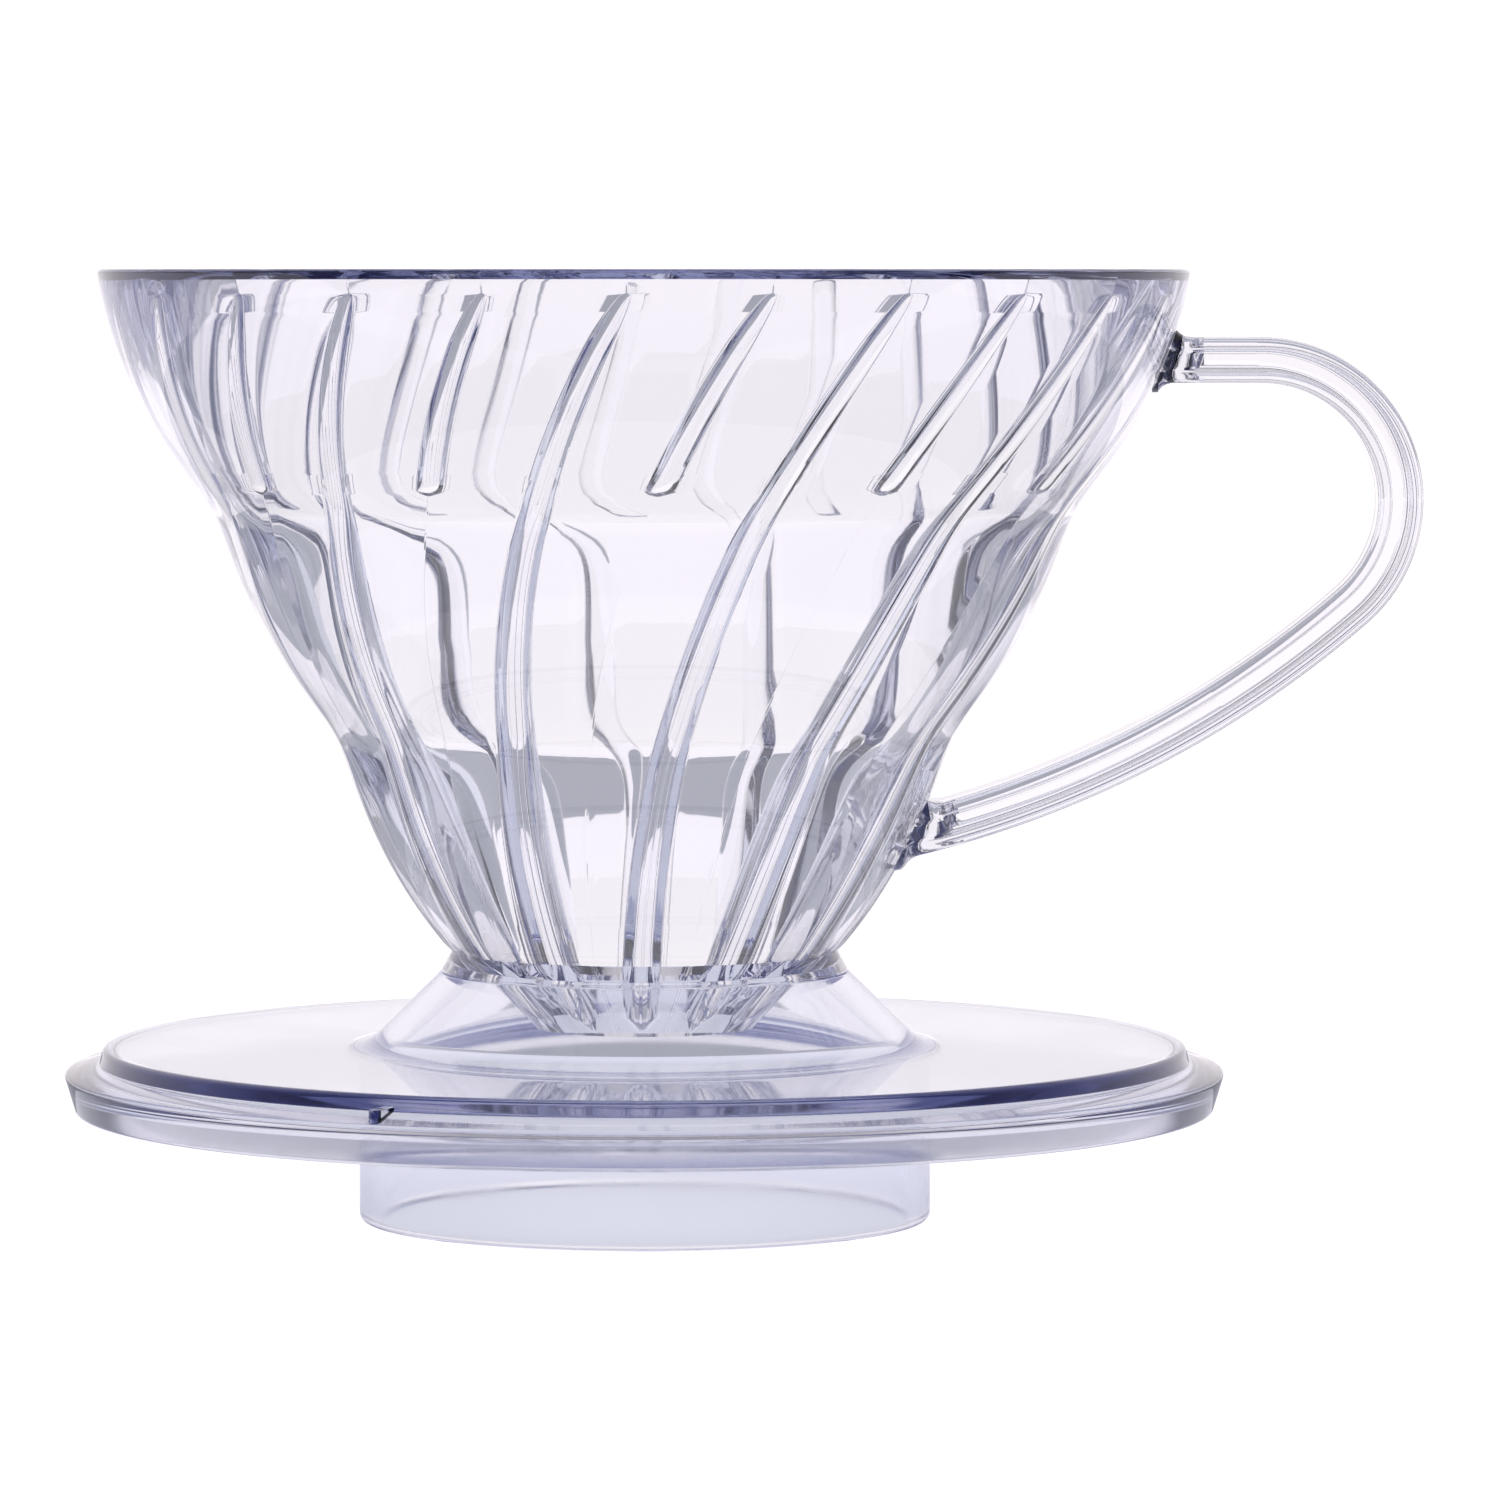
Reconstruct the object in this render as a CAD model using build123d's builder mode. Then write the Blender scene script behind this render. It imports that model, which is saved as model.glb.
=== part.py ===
"""Cone pour over dripper in clear plastic: a ribbed cone with a loop handle, seated in a saucer base.

Millimetres. The origin is the centre of the foot ring, +Z runs up the cone's axis, and the handle
points along +X. The cone is one moulding with its ribs and handle, and the base is the other.
"""
import os
from math import radians, tan

from build123d import *

# Cone, outside: three bulging tiers between the rim and the waist
overall_height = 81.8
rim_radius = 46.7
upper_tier_drop, middle_tier_drop = 20.2, 39.4  # from the rim down to where each tier ends
waist_radius, waist_height = 16.6, 23.3
upper_bulge, middle_bulge, lower_bulge = 1.83, 1.53, 1.39
tier_blend_radius = 12.0  # softens the step between two tiers
rim_edge_radius = 0.4

# Cone, inside: the wall is straight, so it is thickest in the middle of each tier
rim_wall, upper_tier_wall, middle_tier_wall, waist_wall = 1.5, 1.6, 1.2, 1.47
rim_chamfer = 0.7
outlet_radius, outlet_land = 7.0, 1.0

# Joint between the cone and the base
collar_flare, collar_drop = 1.0, 1.8  # the collar flares out below the waist
collar_ledge = 2.4  # the cone rests on the base with this ledge around the spigot
spigot_length, spigot_clearance = 0.8, 0.1
tip_ledge, tip_wall, tip_drop = 1.6, 2.3, 5.5  # the tip hangs below the collar

# Ribs inside the cone: long ones run to the outlet, short ones stop in the upper tier
rib_pairs = 12
rib_phase = -1.0  # degrees from the handle to the nearest long rib
rib_width = 2.3
rib_draft = 5.0
rib_top_gap = 1.8  # from the rim down to the ribs
rib_top_relief = 0.2  # how far a rib stands proud of the wall at its top
rib_tip_relief = 0.17  # and of the outlet at the tip, so that the crests lie on a 60 degree cone
rib_sweep, rib_sweep_power = 30.0, 1.7  # degrees turned on the way down
rib_root_depth = 0.6  # sunk into the wall
short_rib_length = 15.8

# Handle: a straight upper arm, a tight bend and a long lower arm, all I-shaped in section
handle_thickness, handle_width = 3.9, 8.0
handle_arm_drop = 7.75  # from the rim down to the middle of the upper arm
handle_arm_overhang = 6.0  # how far the straight arm runs past the rim
handle_bend_radius, handle_bend_angle = 12.0, 139.0
handle_lower_radius, handle_lower_angle = 90.0, 29.0
handle_edge_radius = 0.9
groove_width, handle_web = 1.7, 2.8  # a groove down each side leaves a web between
groove_root_gap = 1.6  # solid plastic left between a groove and the cone

# Base
socket_land = 0.48  # the straight bore at the top of the neck, above the flare
flare_angle = 45.0  # from the vertical
flare_blend_radius = 4.0
plateau_height, plateau_thickness = 15.2, 2.2
saucer_radius = 50.0
ledge_width, ledge_drop, edge_drop = 3.5, 1.3, 2.2  # a ledge runs around the raised plateau
step_run, step_blend_radius = 0.4, 0.6
saucer_lip, saucer_draft, saucer_wall = 3.3, 1.1, 2.6  # the lip hangs down around the edge
saucer_edge_radius, pocket_blend_radius = 0.4, 1.0
skirt_radius, skirt_wall = 24.6, 1.8
skirt_edge_radius = 0.8
nib_width, nib_reach, nib_proud = 1.1, 2.6, 0.4  # a moulding nib on the step
nib_angle = -115.5

# Derived places on the cone
upper_tier_height = overall_height - upper_tier_drop
middle_tier_height = overall_height - middle_tier_drop
collar_radius = waist_radius + collar_flare
collar_height = waist_height - collar_drop
spigot_radius = collar_radius - collar_ledge
spigot_height = collar_height - spigot_length
tip_height = collar_height - tip_drop
land_height = tip_height + outlet_land
chamfer_foot = overall_height - rim_chamfer
rib_top = overall_height - rib_top_gap
rib_half = rib_width / 2


def between(height, low, high):
    """Radius at this height on the straight line through two (radius, height) points."""
    share = (height - low[1]) / (high[1] - low[1])
    return low[0] + share * (high[0] - low[0])


def wall_inside(height):
    """Inner radius of the smooth cone wall, above the waist."""
    at_waist = (waist_radius - waist_wall, waist_height)
    return between(height, at_waist, (rim_radius - rim_wall, overall_height))


def tip_inside(height):
    """Inner radius below the waist, where the wall closes in to the outlet."""
    at_waist = (wall_inside(waist_height), waist_height)
    return between(max(height, land_height), (outlet_radius, land_height), at_waist)


def crest_radius(height):
    """Radius of the cone that the rib crests lie on."""
    at_tip = (outlet_radius - rib_tip_relief, tip_height)
    return between(height, at_tip, (wall_inside(rib_top) - rib_top_relief, rib_top))


def rib_azimuth(height):
    """Degrees a rib has turned at this height, counted from its top."""
    share = max(height - tip_height, 0) / (rib_top - tip_height)
    return rib_sweep * (share**rib_sweep_power - 1)


def rib_section(height, root):
    """Outline of one rib at this height: a round crest with drafted sides back to root."""
    centre = crest_radius(height) + rib_half
    root_half = rib_half + (root - centre) * tan(radians(rib_draft))
    turned = Plane.XY.offset(height).rotated((0, 0, rib_azimuth(height)))
    with BuildSketch(turned) as section:
        with BuildLine():
            ThreePointArc((centre, -rib_half), (centre - rib_half, 0), (centre, rib_half))
            Polyline((centre, rib_half), (root, root_half), (root, -root_half), (centre, -rib_half))
        make_face()
    return section.sketch


def rib_root(height, wall):
    """Radius of a rib's root: just behind the wall's face and behind the round of the crest."""
    return max(wall, crest_radius(height) + rib_half) + rib_root_depth


def rib_solid(heights, inside):
    """A rib through these heights, rooted in the wall whose inner radius is inside(height)."""
    with BuildPart() as rib:
        loft([rib_section(z, rib_root(z, inside(z))) for z in heights])
    return rib.part


def evenly(top, bottom, steps):
    """Heights from top to bottom in equal steps, both ends included."""
    return [top + (bottom - top) * i / steps for i in range(steps + 1)]


def soften(sketch, corner, radius):
    """Round the corner of the sketch nearest to this point."""
    fillet(sketch.vertices().sort_by_distance(corner)[0], radius)


os.makedirs("parts", exist_ok=True)

# Ribs, each starting at azimuth 0
upper_rib = rib_solid(evenly(rib_top, waist_height, 6), wall_inside)
lower_rib = rib_solid(evenly(waist_height, tip_height + outlet_land / 2, 2), tip_inside)
short_rib = rib_solid(evenly(rib_top, rib_top - short_rib_length, 3), wall_inside)

# Cone outline, right of the axis
upper_tier_radius = wall_inside(upper_tier_height) + upper_tier_wall
middle_tier_radius = wall_inside(middle_tier_height) + middle_tier_wall
with BuildSketch(Plane.XZ) as outline:
    with BuildLine():
        rim = Line((0, overall_height), (rim_radius, overall_height))
        upper = SagittaArc(rim @ 1, (upper_tier_radius, upper_tier_height), upper_bulge)
        middle = SagittaArc(upper @ 1, (middle_tier_radius, middle_tier_height), middle_bulge)
        lower = SagittaArc(middle @ 1, (waist_radius, waist_height), lower_bulge)
        Polyline(
            lower @ 1,
            (collar_radius, collar_height),
            (spigot_radius, collar_height),
            (spigot_radius, spigot_height),
            (spigot_radius - tip_ledge, spigot_height),
            (outlet_radius + tip_wall, tip_height),
            (0, tip_height),
            rim @ 0,
        )
    make_face()
    soften(outline, upper @ 1, tier_blend_radius)
    soften(outline, middle @ 1, tier_blend_radius)
    soften(outline, rim @ 1, rim_edge_radius)

# Handle: a bar bent along its path, with a groove down each side that leaves a web between
arm_height = overall_height - handle_arm_drop
arm_start = wall_inside(arm_height) - handle_thickness  # inside the cone, where it is cut away
with BuildPart() as handle:
    with BuildSketch(Plane.XZ):
        with BuildLine() as handle_path:
            arm = Line((arm_start, arm_height), (rim_radius + handle_arm_overhang, arm_height))
            bend = JernArc(arm @ 1, arm % 1, handle_bend_radius, -handle_bend_angle)
            JernArc(bend @ 1, bend % 1, handle_lower_radius, -handle_lower_angle)
        trace(line_width=handle_thickness)
    extrude(amount=handle_width / 2, both=True)
    end_edges = handle.edges().filter_by(lambda edge: abs(edge.length - handle_thickness) < 0.01)
    fillet(handle.faces().filter_by(Axis.Y).edges() - end_edges, handle_edge_radius)
    with BuildSketch(Plane.XZ) as groove:
        trace(handle_path.line, groove_width)
        offset(outline.sketch_local, groove_root_gap, mode=Mode.SUBTRACT)
    extrude(amount=handle_width / 2, both=True, mode=Mode.SUBTRACT)
    extrude(groove.sketch, amount=handle_web / 2, both=True)

# Cone with its ribs and handle
with BuildPart() as cone:
    add(outline.sketch)
    revolve(axis=Axis.Z)
    add(handle.part)
    with BuildSketch(Plane.XZ):
        with BuildLine():
            Polyline(
                (0, tip_height),
                (outlet_radius, tip_height),
                (outlet_radius, land_height),
                (wall_inside(waist_height), waist_height),
                (wall_inside(chamfer_foot), chamfer_foot),
                (wall_inside(chamfer_foot) + rim_chamfer, overall_height),
                (0, overall_height),
                close=True,
            )
        make_face()
    revolve(axis=Axis.Z, mode=Mode.SUBTRACT)
    with PolarLocations(0, rib_pairs, start_angle=rib_phase):
        add([upper_rib, lower_rib])
    with PolarLocations(0, rib_pairs, start_angle=rib_phase + 180 / rib_pairs):
        add(short_rib)

cone.part.label = "cone"
export_step(cone.part, "parts/cone.step")

# Base: one shell with the neck, the saucer and the locating skirt
flare_slope = tan(radians(flare_angle))
flare_outside = collar_radius + (collar_height - plateau_height) * flare_slope
socket_radius = spigot_radius + spigot_clearance
socket_foot = collar_height - socket_land
skirt_inside = skirt_radius - skirt_wall
skirt_head = socket_foot - (skirt_inside - socket_radius) / flare_slope
underside = plateau_height - plateau_thickness
plateau_corner = (saucer_radius - ledge_width, plateau_height)
step_radius, step_height = plateau_corner[0] + step_run, plateau_height - ledge_drop
saucer_edge = (saucer_radius, plateau_height - edge_drop)
lip_corner = (saucer_radius - saucer_draft, plateau_height - edge_drop - saucer_lip)
pocket_corner = (lip_corner[0] - saucer_wall, underside)

with BuildPart() as base:
    with BuildSketch(Plane.XZ) as shell:
        with BuildLine():
            Polyline(
                (collar_radius, collar_height),
                (flare_outside, plateau_height),
                plateau_corner,
                (step_radius, step_height),
                saucer_edge,
                lip_corner,
                (pocket_corner[0], lip_corner[1]),
                pocket_corner,
                (skirt_radius, underside),
                (skirt_radius, 0),
                (skirt_inside, 0),
                (skirt_inside, skirt_head),
                (socket_radius, socket_foot),
                (socket_radius, collar_height),
                close=True,
            )
        make_face()
        soften(shell, (flare_outside, plateau_height), flare_blend_radius)
        soften(shell, plateau_corner, step_blend_radius)
        soften(shell, saucer_edge, saucer_edge_radius)
        soften(shell, lip_corner, saucer_edge_radius)
        soften(shell, pocket_corner, pocket_blend_radius)
        soften(shell, (skirt_radius, 0), skirt_edge_radius)
    revolve(axis=Axis.Z)
    with BuildSketch(Plane.XY.offset(saucer_edge[1])):
        with PolarLocations(step_radius, 1, start_angle=nib_angle):
            SlotOverall(2 * nib_reach, nib_width)
    extrude(amount=step_height + nib_proud - saucer_edge[1])

base.part.label = "base"
export_step(base.part, "parts/base.step")
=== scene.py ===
from math import acos, atan2, cos, degrees, hypot, pi, radians, sin, sqrt, tan

import bpy
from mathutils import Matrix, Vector


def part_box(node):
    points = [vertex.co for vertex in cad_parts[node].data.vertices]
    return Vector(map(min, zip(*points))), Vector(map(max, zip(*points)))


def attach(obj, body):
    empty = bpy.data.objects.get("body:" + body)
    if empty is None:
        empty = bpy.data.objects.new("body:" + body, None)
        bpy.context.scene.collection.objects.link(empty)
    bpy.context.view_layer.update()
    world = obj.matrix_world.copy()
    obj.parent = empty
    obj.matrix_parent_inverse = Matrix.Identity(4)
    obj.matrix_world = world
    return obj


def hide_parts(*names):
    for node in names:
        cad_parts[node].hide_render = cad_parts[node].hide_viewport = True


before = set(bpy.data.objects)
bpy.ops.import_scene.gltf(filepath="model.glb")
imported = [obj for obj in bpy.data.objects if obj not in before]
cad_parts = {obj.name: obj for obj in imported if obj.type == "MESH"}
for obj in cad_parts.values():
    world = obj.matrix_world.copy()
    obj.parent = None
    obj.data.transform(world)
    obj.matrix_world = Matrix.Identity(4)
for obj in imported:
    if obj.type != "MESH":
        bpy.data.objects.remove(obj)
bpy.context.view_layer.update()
mm = 0.001
coneLow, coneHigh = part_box("cone")
print("frame loaded")

making = {
    "supportGap": 0.12,  # from a corner to the point that keeps the shading flat, in mm
    "mergeGap": 0.004 * mm,
    "ringSlack": 0.01 * mm,
    "smoothAngle": 35,
    "capCorners": 200,  # only a cap has a face with more corners than this
}

camera = {
    "distance": 660 * mm,
    "side": 9.07 * mm,
    "pitch": 3.58,  # degrees down from level
    "lens": 184.5,
    "sensor": 36.0,
}

bpy.ops.object.camera_add(
    location=(camera["side"], -camera["distance"], coneHigh[2]),
    rotation=(radians(90 - camera["pitch"]), 0, 0),
)
view = bpy.context.object
view.data.lens = camera["lens"]
view.data.sensor_width = camera["sensor"]
view.data.clip_start = 0.05
view.data.clip_end = 20
bpy.context.scene.camera = view


def deselectAll():
    if bpy.context.mode != "OBJECT":
        bpy.ops.object.mode_set(mode="OBJECT")
    bpy.ops.object.select_all(action="DESELECT")


def makeActive(piece):
    deselectAll()
    piece.select_set(True)
    bpy.context.view_layer.objects.active = piece


def circleOf(start, end, bulge):
    # centre and radius of the arc from start down to end that bulges away from the axis
    chord = (end - start).length
    radius = chord * chord / (8 * bulge) + bulge / 2
    along = (end - start) / chord
    inward = Vector((along.y, -along.x))
    if inward.x > 0:
        inward = -inward
    return (start + end) / 2 + inward * (radius - bulge), radius


def roundedOutline(corners, steps=5):
    # corners are (r, z, rounding); each rounded corner becomes a short arc
    found = []
    for i, (x, y, r) in enumerate(corners):
        here = Vector((x, y))
        if not r:
            found.append(here)
            continue
        before, after = Vector(corners[i - 1][:2]), Vector(corners[(i + 1) % len(corners)][:2])
        a, b = (before - here).normalized(), (after - here).normalized()
        half = acos(max(-1, min(1, a.dot(b)))) / 2
        centre = here + (a + b).normalized() * (r / sin(half))
        start, end = here + a * (r / tan(half)), here + b * (r / tan(half))
        a0 = atan2(start.y - centre.y, start.x - centre.x)
        turn = atan2(end.y - centre.y, end.x - centre.x) - a0
        turn = (turn + pi) % (2 * pi) - pi
        for k in range(steps + 1):
            t = a0 + turn * k / steps
            found.append(centre + Vector((cos(t), sin(t))) * r)
    return found


def supported(outline, step, closed):
    # splits straight runs, with a point close to each end that keeps the shading flat
    near = making["supportGap"]
    found = []
    for i, p in enumerate(outline):
        q = outline[(i + 1) % len(outline)]
        found.append(p)
        length = (q - p).length
        if length < 5 * near or (i == len(outline) - 1 and not closed):
            continue
        count = max(1, round(length / step))
        shares = [near / length] + [k / count for k in range(1, count)] + [1 - near / length]
        found += [p + (q - p) * share for share in shares]
    return found


def pointByPoint(name, points):
    # starts from one vertex and extrudes on from point to point, left in edit mode
    deselectAll()
    bpy.ops.mesh.primitive_circle_add(vertices=3, radius=mm)
    piece = bpy.context.object
    piece.name = piece.data.name = name
    bpy.ops.object.mode_set(mode="EDIT")
    bpy.ops.mesh.select_mode(type="VERT")
    bpy.ops.mesh.select_all(action="SELECT")
    bpy.ops.mesh.merge(type="CENTER")
    here = Vector((0, 0, 0))
    for i, there in enumerate(points):
        if i == 0:
            bpy.ops.transform.translate(value=there - here)
        else:
            bpy.ops.mesh.extrude_vertices_move(TRANSFORM_OT_translate={"value": there - here})
        here = there
    bpy.ops.mesh.select_all(action="SELECT")
    return piece


def faceOutward():
    bpy.ops.mesh.select_all(action="SELECT")
    bpy.ops.mesh.normals_make_consistent(inside=False)
    bpy.ops.object.mode_set(mode="OBJECT")


def spunShell(name, outline, steps, closed):
    # lays the outline out in the XZ plane, then spins it round the Z axis
    piece = pointByPoint(name, [Vector((r, 0, z)) for r, z in outline])
    if closed:
        bpy.ops.mesh.edge_face_add()
        bpy.ops.mesh.delete(type="ONLY_FACE")
        bpy.ops.mesh.select_all(action="SELECT")
    bpy.ops.mesh.spin(steps=steps, angle=2 * pi, center=(0, 0, 0), axis=(0, 0, 1))
    bpy.ops.mesh.select_all(action="SELECT")
    bpy.ops.mesh.remove_doubles(threshold=making["mergeGap"])
    faceOutward()
    return piece


def uniteWith(piece, other):
    makeActive(piece)
    union = piece.modifiers.new("union", "BOOLEAN")
    union.operation = "UNION"
    union.solver = "EXACT"
    union.object = other
    bpy.ops.object.modifier_apply(modifier=union.name)
    bpy.data.objects.remove(other)


def smoothed(piece):
    makeActive(piece)
    bpy.ops.object.shade_smooth_by_angle(angle=radians(making["smoothAngle"]))
    weighted = piece.modifiers.new("weighted", "WEIGHTED_NORMAL")
    weighted.keep_sharp = True
    bpy.ops.object.modifier_apply(modifier=weighted.name)


cone = {
    "tiers": [  # start radius, start height, end radius, end height, bulge
        (46.7, 81.8, 36.4, 61.6, 1.83),
        (36.4, 61.6, 26.13, 42.4, 1.53),
        (26.13, 42.4, 16.6, 23.3, 1.39),
    ],
    "tierBlend": 1.6,
    "outerRows": 78,
    "outerColumns": 240,
    "rimEdge": 0.35,
    "collar": (17.6, 21.5),
    "spigot": (15.2, 20.7),
    "tipTop": 13.6,
    "tip": (9.3, 16.0),
    "rimWall": 1.5,
    "wallAngle": 27.2,
    "chamfer": 0.7,
    "outlet": (7.0, 17.0),
    "ribPairs": 12,
    "ribPhase": -1.0,
    "ribHalf": 1.15,
    "ribDraft": 5.0,
    "ribTop": 80.0,
    "shortRibEnd": 64.2,
    "crestTop": 44.08,  # radius of the cone the crests lie on, at the ribs' top
    "crestAngle": 30.2,
    "ribSweep": 30.0,
    "ribSweepPower": 1.7,
    "ribPoint": 4.0,  # the height over which a rib rises at its top
    "ribRounding": 1.4,  # and over which it ends at its foot
    "ribRoot": 0.2,
    "laneColumns": 20,
    "columnGap": 0.015,  # keeps the columns apart where a rib has died out
}
top = coneHigh[2] / mm
bottom = coneLow[2] / mm
tiers = [circleOf(Vector(t[0:2]), Vector(t[2:4]), t[4]) for t in cone["tiers"]]


def wallOutside(z):
    # the three bulging tiers, each running softly into the next
    k = cone["tierBlend"]
    found = None
    for centre, radius in tiers:
        r = centre.x + sqrt(max(radius**2 - (z - centre.y) ** 2, 0))
        found = r if found is None else (found + r + sqrt((found - r) ** 2 + k * k)) / 2
    return found


def wallInside(z):
    rim = cone["tiers"][0][0] - cone["rimWall"]
    straight = rim - (top - z) * tan(radians(cone["wallAngle"]))
    low, high = cone["outlet"][1], cone["tiers"][2][3]
    if z >= high:
        return straight
    share = max(z - low, 0) / (high - low)
    atWaist = straight + (high - z) * tan(radians(cone["wallAngle"]))
    return cone["outlet"][0] + share * (atWaist - cone["outlet"][0])


def wallDistance(x, y, z):
    # how far a point stands outside the cone, square to its wall
    return (hypot(x, y) - wallOutside(z)) * cos(radians(cone["wallAngle"]))


def openSheet(name, outline, columns):
    return spunShell(name, [p * mm for p in outline], columns, False)


waist = cone["tiers"][2][2:4]
rimHeight = top - cone["rimEdge"]
rows = cone["outerRows"]
outerRows = [rimHeight - (rimHeight - waist[1]) * i / rows for i in range(rows + 1)]
rimOuter = wallOutside(rimHeight)
rimLoop = rimOuter - 2 * cone["rimEdge"]
outline = roundedOutline([
    (rimLoop, top, 0), (rimOuter, top, cone["rimEdge"]), (rimOuter, top - 2 * cone["rimEdge"], 0),
])[:-1]
outline += [Vector((wallOutside(z), z)) for z in outerRows[1:]]
outline[-1] = Vector(waist)
outline += supported(roundedOutline([
    (*waist, 0), (*cone["collar"], 0.15), (cone["spigot"][0], cone["collar"][1], 0.1),
    (*cone["spigot"], 0.1), (cone["tipTop"], cone["spigot"][1], 0.3), (*cone["tip"], 0),
], steps=3), 2.0, False)[1:]
outer = openSheet("coneOuter", outline, cone["outerColumns"])
print("cone outside", len(outer.data.polygons))

handle = {
    "halfWidth": 4.0,
    "halfThickness": 1.95,
    "edge": 0.9,
    "grooveHalf": 0.85,
    "grooveEdge": 0.15,
    "grooveCorner": 0.35,
    "webHalf": 1.4,
    "armHeight": 74.05,
    "armStart": 38.0,
    "armReach": 52.7,
    "bendRadius": 12.0,
    "bendAngle": 139.0,
    "lowerRadius": 90.0,
    "lowerAngle": 29.5,
    "rootBlend": 1.3,
    "rootLimit": 0.93,  # of the blend, past which the root swells no more
    "grooveGap": 1.6,
    "grooveFade": 0.9,
    "grooveClosed": 0.96,
    "armRows": 40,
    "bendRows": 56,
    "lowerRows": (14, 110),  # coarse along the arm, fine near the cone
    "lowerShares": (0.3, 0.7),
}


def handleSection():
    w, t = handle["halfWidth"], handle["halfThickness"]
    g, b = handle["grooveHalf"], handle["webHalf"]
    edge, lip, corner = handle["edge"], handle["grooveEdge"], handle["grooveCorner"]
    side = [(w, -t, edge), (w, -g, lip), (b, -g, corner), (b, g, corner), (w, g, lip), (w, t, edge)]
    return roundedOutline(side + [(-y, -u, r) for y, u, r in side], steps=4)


def bentBar():
    points = [Vector((handle["armStart"], y, handle["armHeight"] + u)) * mm
              for y, u in handleSection()]
    piece = pointByPoint("handleBar", points)
    bpy.ops.mesh.edge_face_add()
    step = (handle["armReach"] - handle["armStart"]) / handle["armRows"] * mm
    for _ in range(handle["armRows"]):
        bpy.ops.mesh.extrude_region_move(TRANSFORM_OT_translate={"value": (step, 0, 0)})
    centre = Vector((handle["armReach"], 0, handle["armHeight"] - handle["bendRadius"])) * mm
    spin = {"axis": (0, -1, 0), "dupli": False}
    turned = radians(handle["bendAngle"])
    bpy.ops.mesh.spin(steps=handle["bendRows"], angle=turned, center=centre, **spin)
    far = handle["lowerRadius"] - handle["bendRadius"]
    centre -= Vector((sin(turned), 0, cos(turned))) * far * mm
    for steps, share in zip(handle["lowerRows"], handle["lowerShares"]):
        angle = radians(handle["lowerAngle"]) * share
        bpy.ops.mesh.spin(steps=steps, angle=angle, center=centre, **spin)
    faceOutward()
    return piece


def acrossBar(x, z):
    # how far a point lies off the bar's middle line, and which way that is
    bendX, bendZ = handle["armReach"], handle["armHeight"] - handle["bendRadius"]
    if x < bendX and z > bendZ:
        return z - handle["armHeight"], Vector((0, 0, 1))
    turned = radians(handle["bendAngle"])
    off, radius = Vector((x - bendX, 0, z - bendZ)), handle["bendRadius"]
    if not 0 <= atan2(off.x, off.z) <= turned:
        far = handle["lowerRadius"] - radius
        off, radius = off + Vector((sin(turned), 0, cos(turned))) * far, handle["lowerRadius"]
    return off.length - radius, off.normalized()


def fadeGroove(piece):
    # each groove closes up where it nears the cone
    w, g = handle["halfWidth"], handle["grooveHalf"] + handle["grooveEdge"]
    for v in piece.data.vertices:
        x, y, z = v.co / mm
        near = 1 - (wallDistance(x, y, z) - handle["grooveGap"]) / handle["grooveFade"]
        share = handle["grooveClosed"] * sqrt(max(0, min(1, near)))
        if share and abs(acrossBar(x, z)[0]) < g:
            v.co.y = mm * (y + (w - abs(y)) * share * (1 if y > 0 else -1))


def flareRoots(piece):
    # the bar swells by the curve of a fillet over the last stretch before the wall
    r, edge = handle["rootBlend"], handle["edge"]
    flatY, flatU = handle["halfWidth"] - edge, handle["halfThickness"] - edge
    for v in piece.data.vertices:
        x, y, z = v.co / mm
        d = wallDistance(x, y, z)
        if d >= r:
            continue
        near = min(r - d, handle["rootLimit"] * r)
        u, outward = acrossBar(x, z)
        alongY = max(abs(y) - flatY, 0) * (1 if y > 0 else -1)
        alongU = max(abs(u) - flatU, 0) * (1 if u > 0 else -1)
        way = (Vector((0, alongY, 0)) + outward * alongU).normalized()
        v.co += way * (r - sqrt(r * r - near * near)) * mm


bar = bentBar()
fadeGroove(bar)
flareRoots(bar)
print("handle bar", len(bar.data.polygons))


def loopAt(piece, height, radius):
    # in edit mode, leaves only the ring at this height and radius selected
    bpy.ops.mesh.select_mode(type="VERT")
    bpy.ops.mesh.select_all(action="DESELECT")
    bpy.ops.object.mode_set(mode="OBJECT")
    data = piece.data
    slack = making["ringSlack"]
    on = [abs(v.co.z - height * mm) < slack and abs(hypot(v.co.x, v.co.y) - radius * mm) < slack
          for v in data.vertices]
    for edge in data.edges:
        edge.select = on[edge.vertices[0]] and on[edge.vertices[1]]
    for v in data.vertices:
        v.select = on[v.index]
    bpy.ops.object.mode_set(mode="EDIT")
    bpy.ops.mesh.select_mode(type="EDGE")


def withBar(sheet, bar):
    # caps the sheet, joins the bar to it, and takes the caps off again
    ends = ((top, rimLoop), (cone["tip"][1], cone["tip"][0]))
    makeActive(sheet)
    bpy.ops.object.mode_set(mode="EDIT")
    for height, radius in ends:
        loopAt(sheet, height, radius)
        bpy.ops.mesh.edge_face_add()
    faceOutward()
    uniteWith(sheet, bar)
    bpy.ops.object.mode_set(mode="EDIT")
    bpy.ops.mesh.select_all(action="DESELECT")
    bpy.ops.object.mode_set(mode="OBJECT")
    for face in sheet.data.polygons:
        face.select = len(face.vertices) > making["capCorners"]
    bpy.ops.object.mode_set(mode="EDIT")
    bpy.ops.mesh.select_mode(type="FACE")
    bpy.ops.mesh.delete(type="ONLY_FACE")
    bpy.ops.object.mode_set(mode="OBJECT")


withBar(outer, bar)
print("cone with handle", len(outer.data.polygons))


def innerRows():
    # close rows where the ribs start and stop, wider ones between
    stretches = [(81.1, 80.05, 1), (80.05, 78.5, 9), (78.5, 66.0, 22), (66.0, 64.0, 9),
                 (64.0, 23.3, 56), (23.3, 17.0, 9)]
    found = []
    for high, low, count in stretches:
        found += [high + (low - high) * i / count for i in range(count)]
    return found + [17.0]


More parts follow.
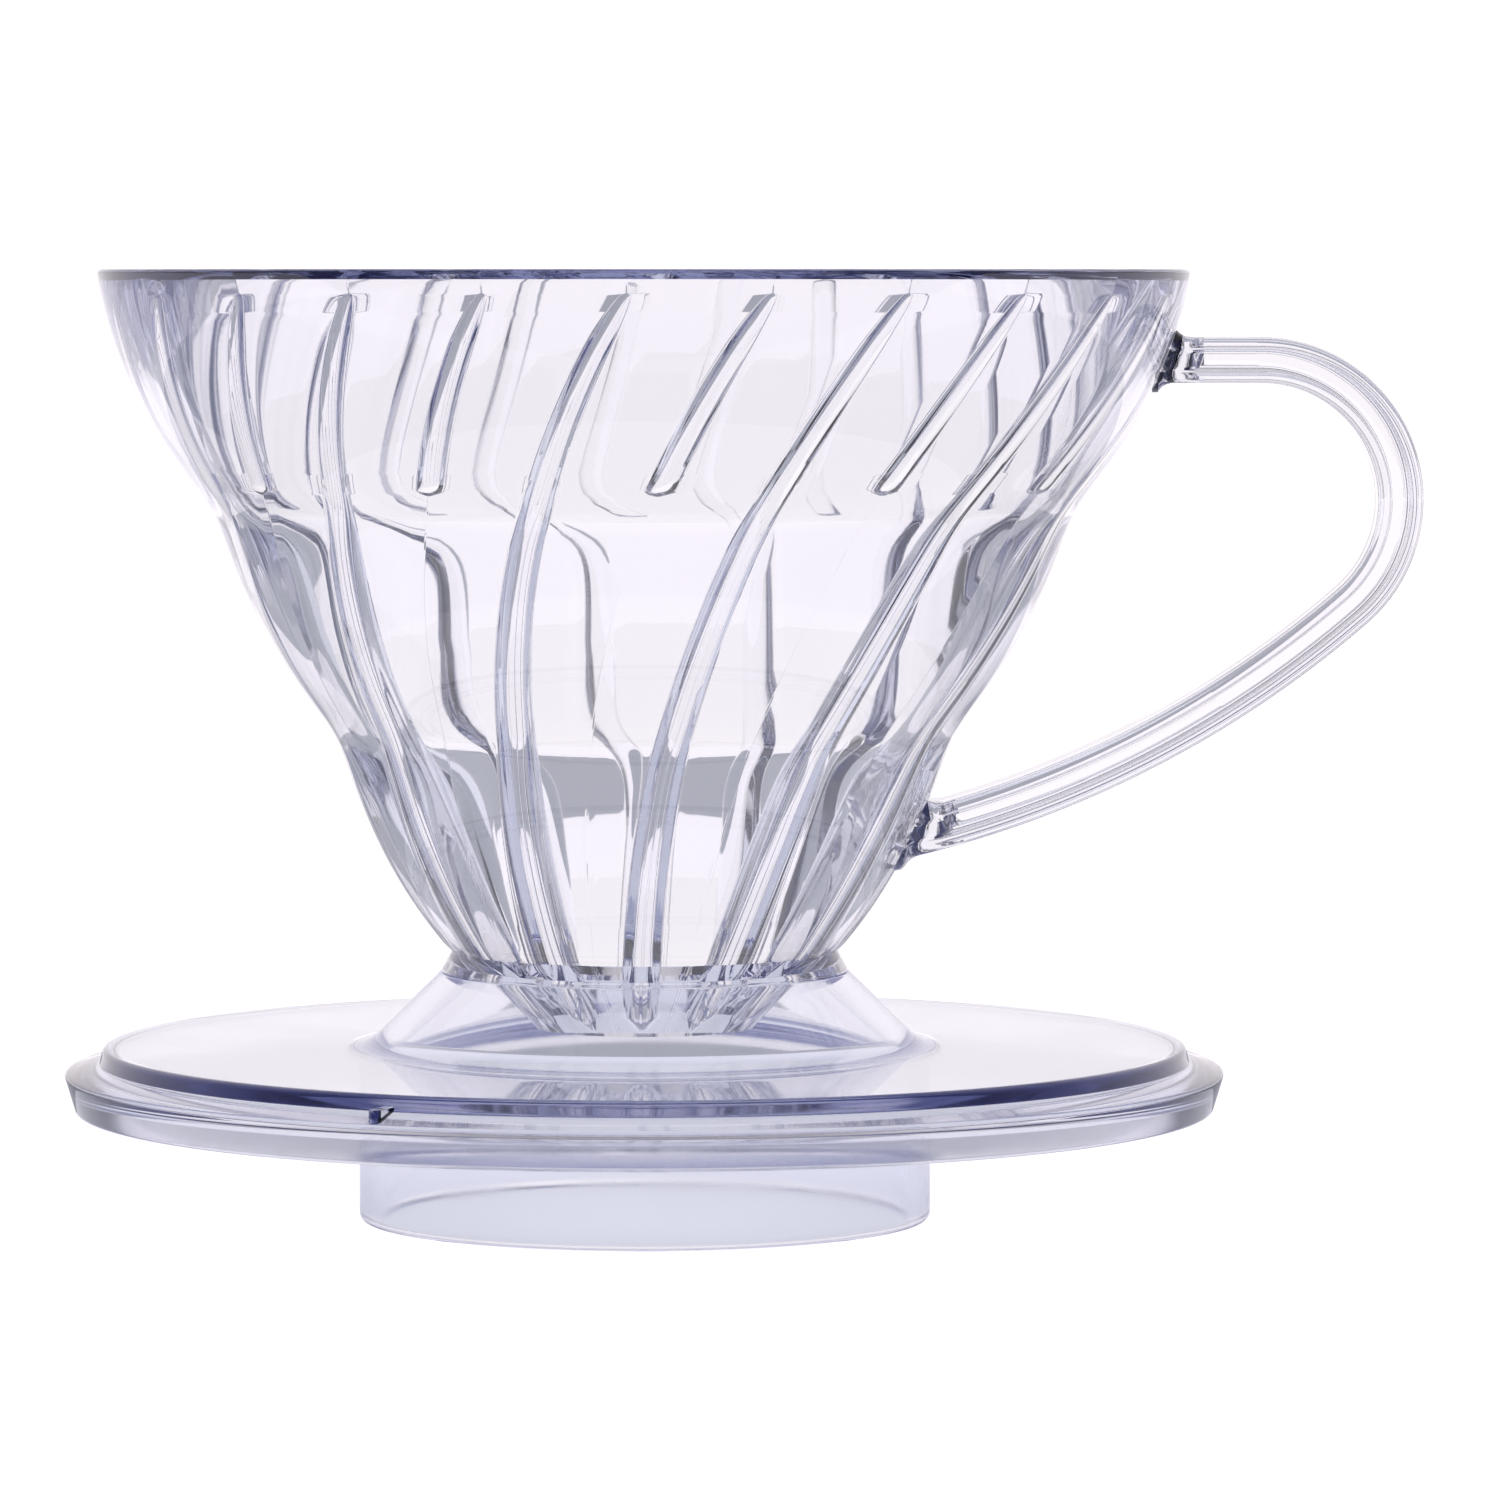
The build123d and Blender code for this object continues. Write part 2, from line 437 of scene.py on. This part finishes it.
def ribTurn(z):
    share = (z - cone["tip"][1]) / (cone["ribTop"] - cone["tip"][1])
    share = max(0, min(1, share))
    return cone["ribSweep"] * (share ** cone["ribSweepPower"] - 1)


def ribHeight(z, short):
    # how far a rib stands out of the wall, rounded off at its ends
    crest = cone["crestTop"] - (cone["ribTop"] - z) * tan(radians(cone["crestAngle"]))
    height = wallInside(z) - crest
    foot = cone["shortRibEnd"] if short else cone["outlet"][1]
    for past, over in ((cone["ribTop"] - z, cone["ribPoint"]), (z - foot, cone["ribRounding"])):
        if past <= 0:
            return 0
        missing = 1 - past / over
        if missing > 0:
            height *= sqrt(1 - missing * missing)
    return max(height, 0)


def ribAcross(height):
    # the rib's section as (sideways, depth) pairs, from one foot to the other
    half, draft = cone["ribHalf"], tan(radians(cone["ribDraft"]))
    swing = min(acos(max(-1, min(1, 1 - height / half))), pi / 2)
    depth = max(height - half, 0)
    crest = half * sin(swing)
    foot = crest + depth * draft
    root = min(cone["ribRoot"], height * 0.45) + 0.02
    low = min(root, depth * 0.5)
    side = [(foot + root, 0), (foot + root * 0.3, root * 0.3), (foot, low),
            (crest + (depth - low) / 2 * draft, (depth + low) / 2)]
    for k in (3, 2, 1, 0):
        a = swing * k / 3
        side.append((half * sin(a), depth + half * (cos(a) - cos(swing))))
    gap, last = cone["columnGap"], len(side) - 1
    right = [(x + gap * (last - i), d) for i, (x, d) in enumerate(side)]
    return [(-x, d) for x, d in right] + [(x, d) for x, d in right[-2::-1]]


def shapeRibs(sheet):
    # slides every inner vertex round its row onto the wall or onto a rib
    pairs, per = cone["ribPairs"], cone["laneColumns"]
    lanes = 2 * pairs
    for v in sheet.data.vertices:
        x, y, z = v.co / mm
        column = round(degrees(atan2(y, x)) / 360 * lanes * per) % (lanes * per)
        lane, place = divmod(column, per)
        radius = hypot(x, y) if z > cone["ribTop"] else wallInside(z)
        sections = [ribAcross(ribHeight(z, i % 2 == 1)) for i in (lane, lane + 1)]
        middle = lane * 360 / lanes
        ribColumns = len(sections[0])
        if place < ribColumns:
            sideways, depth = sections[0][place]
        else:
            # the wall between this rib's last column and the next rib's first
            start = degrees(sections[0][-1][0] / radius)
            end = 360 / lanes + degrees(sections[1][0][0] / radius)
            share = (place - ribColumns + 1) / (per - ribColumns + 1)
            middle += start + (end - start) * share
            sideways, depth = 0, 0
        turn = radians(middle + cone["ribPhase"] + ribTurn(z))
        inward = sqrt(radius * radius - sideways * sideways) - depth
        v.co.x = mm * (inward * cos(turn) - sideways * sin(turn))
        v.co.y = mm * (inward * sin(turn) + sideways * cos(turn))
    sheet.data.update()


chamferFoot = top - cone["chamfer"]
heights = innerRows()
innerLoop = wallInside(chamferFoot) + cone["chamfer"]
outline = [Vector((innerLoop, top))] + [Vector((wallInside(z), z)) for z in heights]
outline += [Vector((cone["outlet"][0], bottom))]
inner = openSheet("coneInner", outline, 2 * cone["ribPairs"] * cone["laneColumns"])
shapeRibs(inner)
print("cone inside", len(inner.data.polygons))


def joinSheets(first, second, name):
    # one closed shell: the two sheets meet in flat rings at the rim and at the tip
    makeActive(first)
    second.select_set(True)
    bpy.ops.object.join()
    first.name = first.data.name = name
    bpy.ops.object.mode_set(mode="EDIT")
    for height, outerRing, innerRing in (
        (top, rimLoop, innerLoop), (bottom, cone["tip"][0], cone["outlet"][0]),
    ):
        loopAt(first, height, outerRing)
        bpy.ops.object.mode_set(mode="OBJECT")
        kept = [e.index for e in first.data.edges if e.select]
        bpy.ops.object.mode_set(mode="EDIT")
        loopAt(first, height, innerRing)
        bpy.ops.object.mode_set(mode="OBJECT")
        for i in kept:
            first.data.edges[i].select = True
        bpy.ops.object.mode_set(mode="EDIT")
        bpy.ops.mesh.bridge_edge_loops()
    loopAt(first, chamferFoot, wallInside(chamferFoot))
    bpy.ops.mesh.mark_sharp()
    faceOutward()
    return first


shell = joinSheets(outer, inner, "clearCone")
smoothed(shell)
print("cone", len(shell.data.polygons), "faces")

base = {
    "neck": (17.6, 21.47),  # a hair below the cone's ledge
    "flareFoot": (23.95, 15.2),
    "flareBlend": 4.0,
    "plateau": (46.5, 15.2),
    "step": (46.9, 13.9),
    "stepBlend": 0.6,
    "saucer": (49.89, 13.0),
    "lip": (48.9, 9.7),
    "lipEdge": 0.4,
    "pocket": (46.3, 13.0),
    "pocketBlend": 1.0,
    "skirt": (24.6, 0.0),
    "skirtInside": 22.8,
    "skirtHead": 13.52,
    "skirtEdge": 0.8,
    "socket": (15.3, 21.02),
    "columns": 288,
}


shellOutline = roundedOutline([
    (*base["neck"], 0.12), (*base["flareFoot"], base["flareBlend"]),
    (*base["plateau"], base["stepBlend"]), (*base["step"], 0.15), (*base["saucer"], 0.35),
    (*base["lip"], base["lipEdge"]), (base["pocket"][0], base["lip"][1], 0.3),
    (*base["pocket"], base["pocketBlend"]), (base["skirt"][0], base["pocket"][1], 0.3),
    (*base["skirt"], base["skirtEdge"]), (base["skirtInside"], 0, 0.3),
    (base["skirtInside"], base["skirtHead"], 1.2), (*base["socket"], 0.1),
    (base["socket"][0], base["neck"][1], 0.1),
], steps=6)
shellOutline = [p * mm for p in supported(shellOutline, 3.0, True)]
saucer = spunShell("clearBase", shellOutline, base["columns"], True)

nib = {
    "length": 5.2,
    "width": 1.1,
    "low": 13.04,
    "high": 14.3,
    "radius": 46.9,
    "angle": -115.5,
    "end": 0.5,
    "edge": 0.15,
}
deselectAll()
bpy.ops.mesh.primitive_cube_add(size=mm, location=(
    nib["radius"] * mm, 0, (nib["low"] + nib["high"]) / 2 * mm))
block = bpy.context.object
block.scale = (nib["length"], nib["width"], nib["high"] - nib["low"])
bpy.ops.object.transform_apply(location=True, scale=True)
bpy.ops.object.mode_set(mode="EDIT")
bpy.ops.mesh.select_mode(type="EDGE")
bpy.ops.mesh.select_all(action="DESELECT")
bpy.ops.object.mode_set(mode="OBJECT")
for edge in block.data.edges:
    a, b = (block.data.vertices[k].co for k in edge.vertices)
    edge.select = abs(a.z - b.z) > 0.5 * mm
bpy.ops.object.mode_set(mode="EDIT")
bpy.ops.mesh.bevel(offset=nib["end"] * mm, segments=5, affect="EDGES")
bpy.ops.object.mode_set(mode="OBJECT")
soft = block.modifiers.new("soft", "BEVEL")
soft.width = nib["edge"] * mm
soft.segments = 2
bpy.ops.object.modifier_apply(modifier=soft.name)
block.rotation_euler.z = radians(nib["angle"])
bpy.ops.object.transform_apply(rotation=True)
uniteWith(saucer, block)
smoothed(saucer)
print("base", len(saucer.data.polygons), "faces")

plastic = {
    "ior": 1.57,
    "tint": (0.30, 0.34, 0.62, 1),
    "noiseScale": 90.0,
    "noiseRange": (0.3, 0.8),
    "polishRange": (0.5, 2.0),  # times the piece's own roughness
    "flowScale": 35.0,
    "flowStrength": 0.12,
    "flowDepth": 0.05 * mm,
    "cone": {"density": 22.0, "roughness": 0.02, "haze": 0.02},
    "base": {"density": 52.0, "roughness": 0.025, "haze": 0.07},
    "hazeHeights": (11.5 * mm, 13.5 * mm),  # the haze is all below the saucer's underside
}


def clearPlastic(name, kind):
    material = bpy.data.materials.new(name)
    material.use_nodes = True
    nodes, links = material.node_tree.nodes, material.node_tree.links
    shader = nodes["Principled BSDF"]
    shader.inputs["Base Color"].default_value = (1, 1, 1, 1)
    shader.inputs["IOR"].default_value = plastic["ior"]
    shader.inputs["Transmission Weight"].default_value = 1.0
    place = nodes.new("ShaderNodeTexCoord")
    noise = nodes.new("ShaderNodeTexNoise")
    noise.inputs["Scale"].default_value = plastic["noiseScale"]
    noise.inputs["Detail"].default_value = 3
    links.new(place.outputs["Object"], noise.inputs["Vector"])
    # polish that varies a little from place to place
    spread = nodes.new("ShaderNodeMapRange")
    spread.inputs["From Min"].default_value = plastic["noiseRange"][0]
    spread.inputs["From Max"].default_value = plastic["noiseRange"][1]
    spread.inputs["To Min"].default_value = plastic["polishRange"][0]
    spread.inputs["To Max"].default_value = plastic["polishRange"][1]
    links.new(noise.outputs["Fac"], spread.inputs["Value"])
    # and satin towards the foot
    split = nodes.new("ShaderNodeSeparateXYZ")
    links.new(place.outputs["Object"], split.inputs["Vector"])
    satin = nodes.new("ShaderNodeMapRange")
    satin.inputs["From Min"].default_value = plastic["hazeHeights"][0]
    satin.inputs["From Max"].default_value = plastic["hazeHeights"][1]
    satin.inputs["To Min"].default_value = kind["haze"]
    satin.inputs["To Max"].default_value = kind["roughness"]
    links.new(split.outputs["Z"], satin.inputs["Value"])
    both = nodes.new("ShaderNodeMath")
    both.operation = "MULTIPLY"
    links.new(spread.outputs["Result"], both.inputs[0])
    links.new(satin.outputs["Result"], both.inputs[1])
    links.new(both.outputs["Value"], shader.inputs["Roughness"])
    # faint flow marks from moulding
    flow = nodes.new("ShaderNodeTexNoise")
    flow.inputs["Scale"].default_value = plastic["flowScale"]
    flow.inputs["Detail"].default_value = 1
    links.new(place.outputs["Object"], flow.inputs["Vector"])
    bump = nodes.new("ShaderNodeBump")
    bump.inputs["Strength"].default_value = plastic["flowStrength"]
    bump.inputs["Distance"].default_value = plastic["flowDepth"]
    links.new(flow.outputs["Fac"], bump.inputs["Height"])
    links.new(bump.outputs["Normal"], shader.inputs["Normal"])
    tint = nodes.new("ShaderNodeVolumeAbsorption")
    tint.inputs["Color"].default_value = plastic["tint"]
    tint.inputs["Density"].default_value = kind["density"]
    links.new(tint.outputs["Volume"], nodes["Material Output"].inputs["Volume"])
    return material


for piece, node, slot in ((shell, "cone", "clear_plastic"), (saucer, "base", "base_plastic")):
    piece.data.materials.clear()
    piece.data.materials.append(clearPlastic(piece.name + "Plastic", plastic[node]))
    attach(piece, "root")
    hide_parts(node)
print("plastic set")

studio = {
    "floorRadius": 3.0,
    "floorColour": (0.262, 0.25, 0.262, 1),
    "floorGlow": 3.9,
    "cardInside": 0.085,
    "tintedShadow": (0.74, 0.75, 0.83, 1),  # what the clear plastic casts under itself
    "cardOutside": 0.265,
    # painted shade: the glowing grey of the shaded floor round the object, seen only through the
    # plastic
    "paintedShadeColour": (0.30, 0.31, 0.35, 1),
    # painted reflection: the dark of the hidden card in front, seen only in the clear plastic's
    # edges
    "frontColour": (0.10, 0.10, 0.12, 1),
    "frontStart": 0.13,
    "backColour": (1.10, 1.05, 1.08, 1),
    "frontLight": 0.14,
    "backRange": (-0.2, 0.9),  # the backdrop brightens from front to back between these
    "bounces": 40,
}


def flatPaper(name, colour, glow):
    material = bpy.data.materials.new(name)
    material.use_nodes = True
    shader = material.node_tree.nodes["Principled BSDF"]
    shader.inputs["Base Color"].default_value = colour
    shader.inputs["Roughness"].default_value = 0.9
    shader.inputs["Specular IOR Level"].default_value = 0.1
    shader.inputs["Emission Color"].default_value = colour
    shader.inputs["Emission Strength"].default_value = glow
    return material


deselectAll()
bpy.ops.mesh.primitive_circle_add(vertices=128, radius=studio["floorRadius"], fill_type="NGON")
floor = bpy.context.object
floor.name = "floor"
floor.data.materials.append(flatPaper("floorPaper", studio["floorColour"], studio["floorGlow"]))

# painted shade: a glowing grey card ring around the object, standing for the shaded floor, which
# the lens doesn't see but the clear plastic shows
deselectAll()
bpy.ops.mesh.primitive_circle_add(
    vertices=128, radius=studio["cardOutside"], fill_type="NGON", location=(0, 0, 0.2 * mm))
shadeCard = bpy.context.object
shadeCard.name = "paintedShadeCard"
bpy.ops.object.mode_set(mode="EDIT")
bpy.ops.mesh.select_all(action="SELECT")
bpy.ops.mesh.inset(thickness=studio["cardOutside"] - studio["cardInside"])
bpy.ops.object.mode_set(mode="OBJECT")
shadeCard.data.materials.append(flatPaper("cardPaintedShade", studio["paintedShadeColour"], 1.0))
# painted shadow: the glowing bluish disc inside the ring, for the shade the clear plastic casts
# under itself
shadeCard.data.materials.append(flatPaper("cardPaintedShadow", studio["tintedShadow"], 0.8))
for face in shadeCard.data.polygons:
    face.material_index = 1 if len(face.vertices) > 4 else 0

# and a dark one on the floor in front, hidden from the lens, which the clear plastic shows as
# painted dark reflections along the edges
deselectAll()
bpy.ops.mesh.primitive_plane_add(
    size=studio["floorRadius"],
    location=(0, -studio["frontStart"] - studio["floorRadius"] / 2, 0.3 * mm))
front = bpy.context.object
front.name = "darkCard"
makeActive(front)
bpy.ops.object.transform_apply(location=True)
front.data.materials.append(flatPaper("cardDark", studio["frontColour"], 0.0))
makeActive(shadeCard)
bpy.ops.object.transform_apply(location=True)
for piece in (shadeCard, front):
    piece.visible_camera = False
    piece.visible_diffuse = False

world = bpy.data.worlds.new("studio")
bpy.context.scene.world = world
world.use_nodes = True
nodes, links = world.node_tree.nodes, world.node_tree.links
background = nodes["Background"]
background.inputs["Color"].default_value = studio["backColour"]
direction = nodes.new("ShaderNodeTexCoord")
split = nodes.new("ShaderNodeSeparateXYZ")
ramp = nodes.new("ShaderNodeMapRange")
ramp.inputs["From Min"].default_value = studio["backRange"][0]
ramp.inputs["From Max"].default_value = studio["backRange"][1]
ramp.inputs["To Min"].default_value = studio["frontLight"]
ramp.inputs["To Max"].default_value = 1.0
links.new(direction.outputs["Generated"], split.inputs["Vector"])
links.new(split.outputs["Y"], ramp.inputs["Value"])
links.new(ramp.outputs["Result"], background.inputs["Strength"])
scene = bpy.context.scene
scene.view_settings.view_transform = "Standard"
scene.cycles.max_bounces = studio["bounces"]
scene.cycles.glossy_bounces = studio["bounces"]
scene.cycles.transmission_bounces = studio["bounces"]
print("studio lit")
